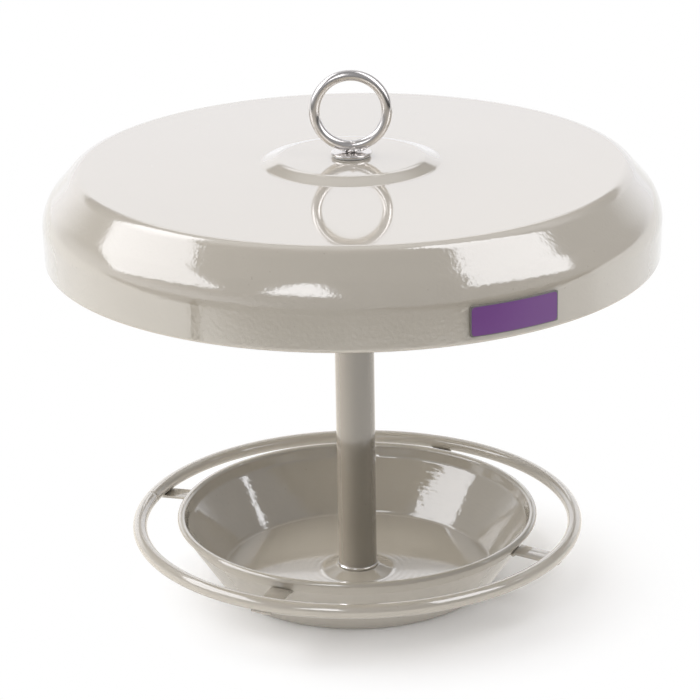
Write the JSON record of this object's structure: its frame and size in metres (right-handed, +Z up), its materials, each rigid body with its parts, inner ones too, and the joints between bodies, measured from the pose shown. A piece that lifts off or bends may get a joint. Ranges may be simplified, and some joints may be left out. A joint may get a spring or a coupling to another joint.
{
  "type": "bird feeder",
  "caption": "Round bird feeder: a pressed metal roof with a hanging ring, on a tube post over a shallow seed bowl with a perch ring around it.",
  "frame": {"origin": "middle of the bowl's flat underside", "axes": "+Z up along the post, -Y towards the front, where the badge sits to the right of the middle"},
  "size_m": [0.2996, 0.2996, 0.2614],
  "materials": {
    "gloss_paint": "gloss powder coat",
    "satin_paint": "satin powder coat",
    "plated_steel": "bright plating",
    "rubber": "matt",
    "badge_film": "gloss film, blank"
  },
  "bodies": {
    "feeder": {"roof": "gloss_paint", "post_tube": "satin_paint", "top_plug": "plated_steel", "foot_plug": "plated_steel", "bowl": "gloss_paint", "base_screw": "plated_steel", "perch_ring": "gloss_paint", "perch_tab_1": "gloss_paint", "perch_tab_2": "gloss_paint", "perch_tab_3": "gloss_paint", "perch_tab_4": "gloss_paint", "badge": "badge_film"},
    "washer": {"eye_washer": "plated_steel", "eye_seal": "rubber"},
    "eye": {"eye_bolt": "plated_steel"}
  },
  "joints": [
    {"name": "eye_rise", "type": "slide", "parent": "feeder", "child": "washer", "axis": [0, 0, 1], "range_m": [0, 0.01201]},
    {"name": "eye_turn", "type": "hinge", "parent": "washer", "child": "eye", "pos_m": [0, 0, 0.24135], "axis": [0, 0, 1], "range_deg": [0, 5400]}
  ],
  "couplings": [
    {"joint": "eye_rise", "follows": "eye_turn", "m_per_rad": 0.00012732}
  ]
}
